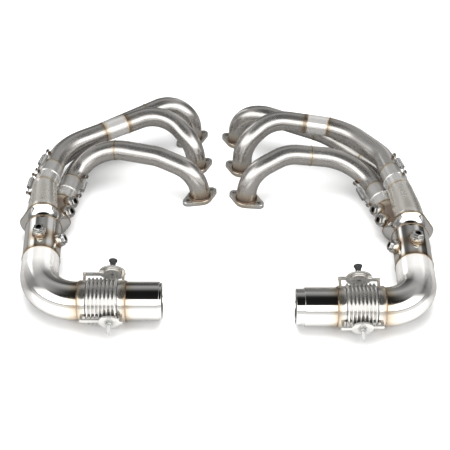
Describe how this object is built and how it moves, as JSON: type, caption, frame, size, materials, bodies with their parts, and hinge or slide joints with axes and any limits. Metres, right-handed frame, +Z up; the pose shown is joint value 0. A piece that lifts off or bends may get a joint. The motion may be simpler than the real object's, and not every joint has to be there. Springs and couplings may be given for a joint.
{
  "type": "exhaust header pair",
  "caption": "Pair of stainless race headers whose bent primaries merge through spring-held slip cups into an elbow, hinged bellows and outlet pipe.",
  "frame": {"origin": "centre of the box that holds both banks, on the floor plane that the flange faces lie on", "axes": "+X across the engine toward the right bank, +Y along the cylinders toward the rear primary, +Z up from the floor"},
  "size_m": [0.8688, 0.7576, 0.1361],
  "materials": {
    "satin_steel": "satin drawn stainless tube",
    "polished_steel": "mirror polished stainless",
    "bright_steel": "bright machined or formed stainless",
    "fastener_steel": "bright zinc plated fasteners and spring wire",
    "cap_rubber": "matt black moulded rubber"
  },
  "bodies": {
    "left_collector": {"left_merge_collector": "satin_steel", "left_merge_cone": "polished_steel", "left_collector_body": "polished_steel", "left_elbow": "polished_steel", "left_merge_rear_bung": "bright_steel", "left_merge_rear_plug": "fastener_steel", "left_merge_front_bung": "bright_steel", "left_merge_front_plug": "fastener_steel", "left_body_top_bung": "bright_steel", "left_body_top_plug": "fastener_steel", "left_body_side_bung": "bright_steel", "left_body_side_plug": "fastener_steel", "left_inlet_collar": "bright_steel", "left_bellows": "bright_steel", "left_front_hinge_stud": "fastener_steel", "left_front_hinge_nut": "fastener_steel", "left_rear_hinge_stud": "fastener_steel", "left_rear_hinge_cap": "cap_rubber", "left_rear_spring": "fastener_steel", "left_middle_spring": "fastener_steel", "left_front_spring": "fastener_steel"},
    "left_rear_runner": {"left_rear_primary": "satin_steel", "left_rear_flange": "bright_steel"},
    "left_middle_runner": {"left_middle_primary": "satin_steel", "left_middle_flange": "bright_steel"},
    "left_front_runner": {"left_front_primary": "satin_steel", "left_front_flange": "bright_steel"},
    "left_outlet": {"left_outlet_collar": "bright_steel", "left_outlet_pipe": "polished_steel"},
    "left_sleeve": {"left_outlet_sleeve": "polished_steel"},
    "right_collector": {"right_merge_collector": "satin_steel", "right_merge_cone": "polished_steel", "right_collector_body": "polished_steel", "right_elbow": "polished_steel", "right_merge_rear_bung": "bright_steel", "right_merge_rear_plug": "fastener_steel", "right_merge_front_bung": "bright_steel", "right_merge_front_plug": "fastener_steel", "right_body_top_bung": "bright_steel", "right_body_top_plug": "fastener_steel", "right_body_side_bung": "bright_steel", "right_body_side_plug": "fastener_steel", "right_inlet_collar": "bright_steel", "right_bellows": "bright_steel", "right_front_hinge_stud": "fastener_steel", "right_front_hinge_nut": "fastener_steel", "right_rear_hinge_stud": "fastener_steel", "right_rear_hinge_cap": "cap_rubber", "right_rear_spring": "fastener_steel", "right_middle_spring": "fastener_steel", "right_front_spring": "fastener_steel"},
    "right_rear_runner": {"right_rear_primary": "satin_steel", "right_rear_flange": "bright_steel"},
    "right_middle_runner": {"right_middle_primary": "satin_steel", "right_middle_flange": "bright_steel"},
    "right_front_runner": {"right_front_primary": "satin_steel", "right_front_flange": "bright_steel"},
    "right_outlet": {"right_outlet_collar": "bright_steel", "right_outlet_pipe": "polished_steel"},
    "right_sleeve": {"right_outlet_sleeve": "polished_steel"}
  },
  "joints": [
    {"name": "left_rear_slip", "type": "slide", "parent": "left_collector", "child": "left_rear_runner", "axis": [0.028, 0.9972, 0.0699], "range_m": [-0.002, 0.002], "stiffness_N_per_m": 4000, "deforming": ["left_rear_spring"]},
    {"name": "left_middle_slip", "type": "slide", "parent": "left_collector", "child": "left_middle_runner", "axis": [0.167, 0.9826, 0.0811], "range_m": [-0.002, 0.002], "stiffness_N_per_m": 4000, "deforming": ["left_middle_spring"]},
    {"name": "left_front_slip", "type": "slide", "parent": "left_collector", "child": "left_front_runner", "axis": [0.1937, 0.9685, 0.1565], "range_m": [-0.002, 0.002], "stiffness_N_per_m": 4000, "deforming": ["left_front_spring"]},
    {"name": "left_bellows_hinge", "type": "hinge", "parent": "left_collector", "child": "left_outlet", "pos_m": [-0.2214, -0.28335, 0.0543], "axis": [0, 0.9511, 0.309], "range_deg": [-5, 5], "stiffness_Nm_per_rad": 20, "deforming": ["left_bellows"]},
    {"name": "left_sleeve_slide", "type": "slide", "parent": "left_outlet", "child": "left_sleeve", "axis": [1, 0, 0], "range_m": [-0.003, 0.02]},
    {"name": "right_rear_slip", "type": "slide", "parent": "right_collector", "child": "right_rear_runner", "axis": [-0.1515, 0.9876, 0.0424], "range_m": [-0.002, 0.002], "stiffness_N_per_m": 4000, "deforming": ["right_rear_spring"]},
    {"name": "right_middle_slip", "type": "slide", "parent": "right_collector", "child": "right_middle_runner", "axis": [-0.2089, 0.9756, 0.0677], "range_m": [-0.002, 0.002], "stiffness_N_per_m": 4000, "deforming": ["right_middle_spring"]},
    {"name": "right_front_slip", "type": "slide", "parent": "right_collector", "child": "right_front_runner", "axis": [-0.253, 0.9614, 0.1084], "range_m": [-0.002, 0.002], "stiffness_N_per_m": 4000, "deforming": ["right_front_spring"]},
    {"name": "right_bellows_hinge", "type": "hinge", "parent": "right_collector", "child": "right_outlet", "pos_m": [0.26175, -0.30035, 0.0543], "axis": [0, 0.9511, 0.309], "range_deg": [-5, 5], "stiffness_Nm_per_rad": 20, "deforming": ["right_bellows"]},
    {"name": "right_sleeve_slide", "type": "slide", "parent": "right_outlet", "child": "right_sleeve", "axis": [-1, 0, 0], "range_m": [-0.014, 0.01]},
    {"name": "bank_gap", "type": "slide", "parent": "left_collector", "child": "right_collector", "axis": [1, 0, 0], "range_m": [0, 0.15]}
  ]
}
